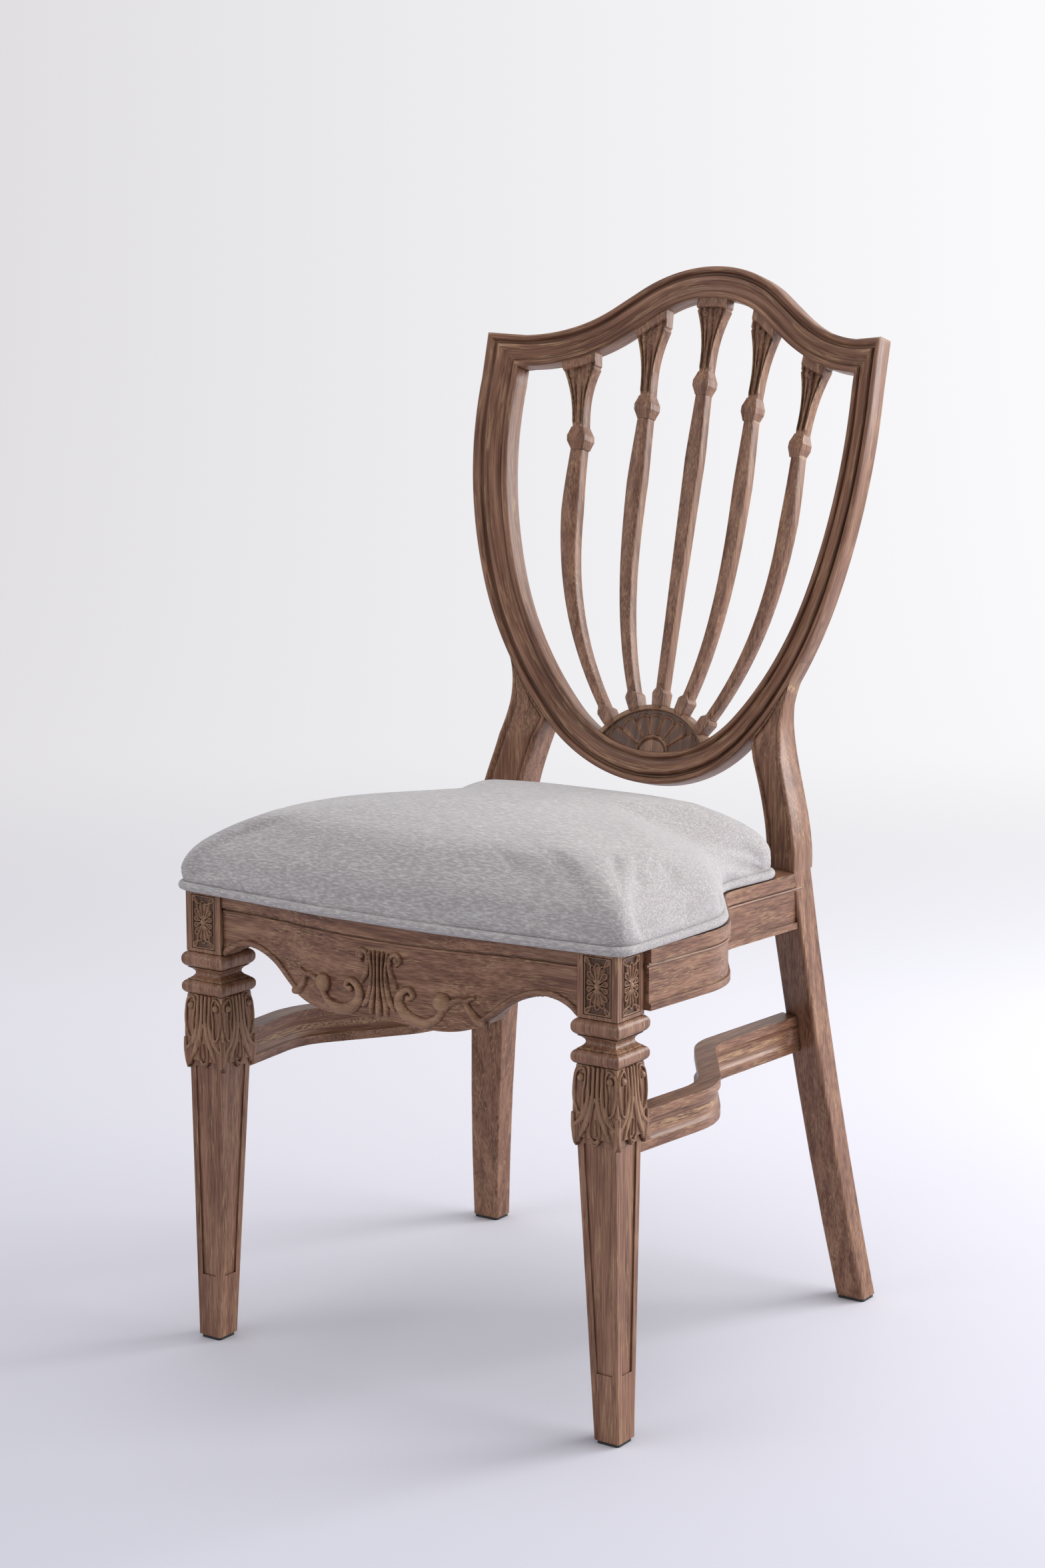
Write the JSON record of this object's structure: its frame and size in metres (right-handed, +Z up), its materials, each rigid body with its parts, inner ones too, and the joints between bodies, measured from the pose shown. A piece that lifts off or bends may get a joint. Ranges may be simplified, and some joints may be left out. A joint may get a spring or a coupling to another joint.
{
  "type": "shield-back dining chair",
  "caption": "Dining chair moulded to look like carved walnut, with a shield back of slender balusters, tapered front legs and a lift-off padded seat.",
  "frame": {"origin": "middle of the chair's plan box, on the floor", "axes": "+Z up, the chair faces -Y, +X to the right as seen from the front"},
  "size_m": [0.486, 0.5594, 0.9627],
  "materials": {
    "moulded_walnut": "satin, grained",
    "beech_dowel": "planed",
    "zinc_screw": "zinc plated",
    "foot_glide": "matt",
    "hook_and_loop": "woven tape",
    "grey_twill": "salt-and-pepper weave",
    "birch_ply": "sanded",
    "seat_foam": "open cell foam",
    "base_cloth": "non-woven"
  },
  "bodies": {
    "frame": {"back_dowels": "beech_dowel", "baluster_centre": "moulded_walnut", "baluster_inner_left": "moulded_walnut", "baluster_inner_right": "moulded_walnut", "baluster_outer_left": "moulded_walnut", "baluster_outer_right": "moulded_walnut", "bow_dowels": "beech_dowel", "corner_block_front_left": "moulded_walnut", "corner_block_front_right": "moulded_walnut", "corner_block_rear_left": "moulded_walnut", "corner_block_rear_right": "moulded_walnut", "corner_screws": "zinc_screw", "crest_rail": "moulded_walnut", "fan_lunette": "moulded_walnut", "foot_glides": "foot_glide", "front_apron": "moulded_walnut", "front_leg_left": "moulded_walnut", "front_leg_right": "moulded_walnut", "hook_strips": "hook_and_loop", "mitre_dowels": "beech_dowel", "rail_dowels": "beech_dowel", "rear_leg_left": "moulded_walnut", "rear_leg_right": "moulded_walnut", "rear_rail": "moulded_walnut", "shield_bow": "moulded_walnut", "side_rail_left": "moulded_walnut", "side_rail_right": "moulded_walnut", "side_stretcher_left": "moulded_walnut", "side_stretcher_right": "moulded_walnut", "upright_left": "moulded_walnut", "upright_right": "moulded_walnut"},
    "seat_pad": {"pad_cover": "grey_twill", "pad_piping": "grey_twill", "loop_strips": "hook_and_loop", "pad_board": "birch_ply", "pad_foam": "seat_foam", "pad_base_cloth": "base_cloth"}
  },
  "joints": [
    {"name": "seat_lift", "type": "slide", "parent": "frame", "child": "seat_pad", "axis": [0, 0, 1], "range_m": [0, 0.15]}
  ]
}
